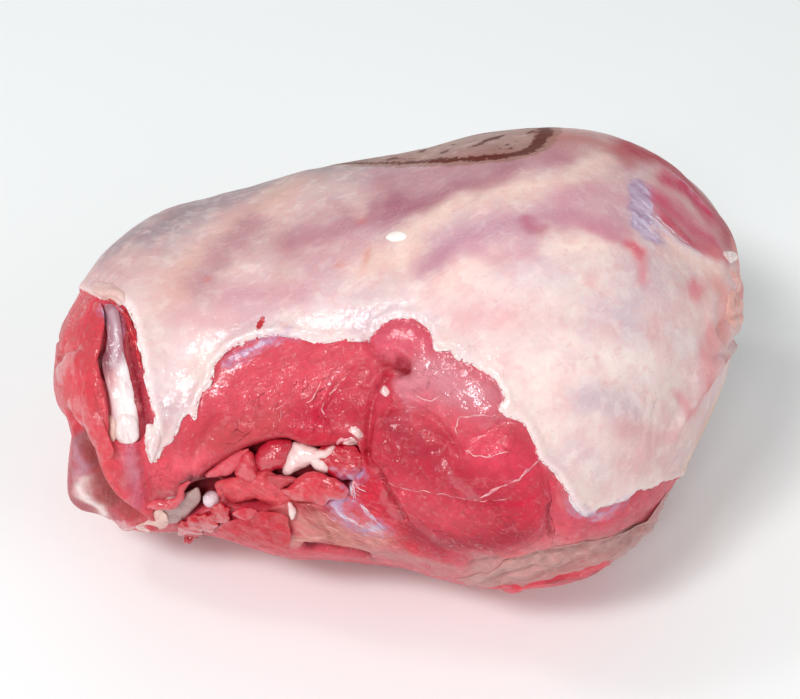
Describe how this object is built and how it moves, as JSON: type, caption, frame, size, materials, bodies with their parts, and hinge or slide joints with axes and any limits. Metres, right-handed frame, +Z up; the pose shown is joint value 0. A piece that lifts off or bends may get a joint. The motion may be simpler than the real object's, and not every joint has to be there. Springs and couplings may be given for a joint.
{
  "type": "raw leg of lamb",
  "caption": "Raw leg of lamb without shank or rump bone, a rounded joint of red meat under a pale fell, its cut side trimmed open along the seams.",
  "frame": {"origin": "on the board under the middle of the meat's bounding box", "axes": "+X along the leg from the cut shank end to the rump, +Y away from the cut show side, +Z up; the camera of the picture stood on the -Y side and looked down at 42 degrees"},
  "size_m": [0.2303, 0.1695, 0.1327],
  "materials": {
    "meat": "raw red meat, moist, partly under a thin pale mauve fell with cream fat",
    "tendon": "smooth wet white sinew",
    "bone": "grey pink end of a bone, damp",
    "cartilage": "glossy bluish white cartilage",
    "gristle": "white fatty gristle"
  },
  "bodies": {
    "root": {"leg_meat": "meat", "tendon": "tendon", "joint_bone": "bone", "cartilage_ball": "cartilage", "gristle_chunk": "gristle"}
  },
  "joints": []
}
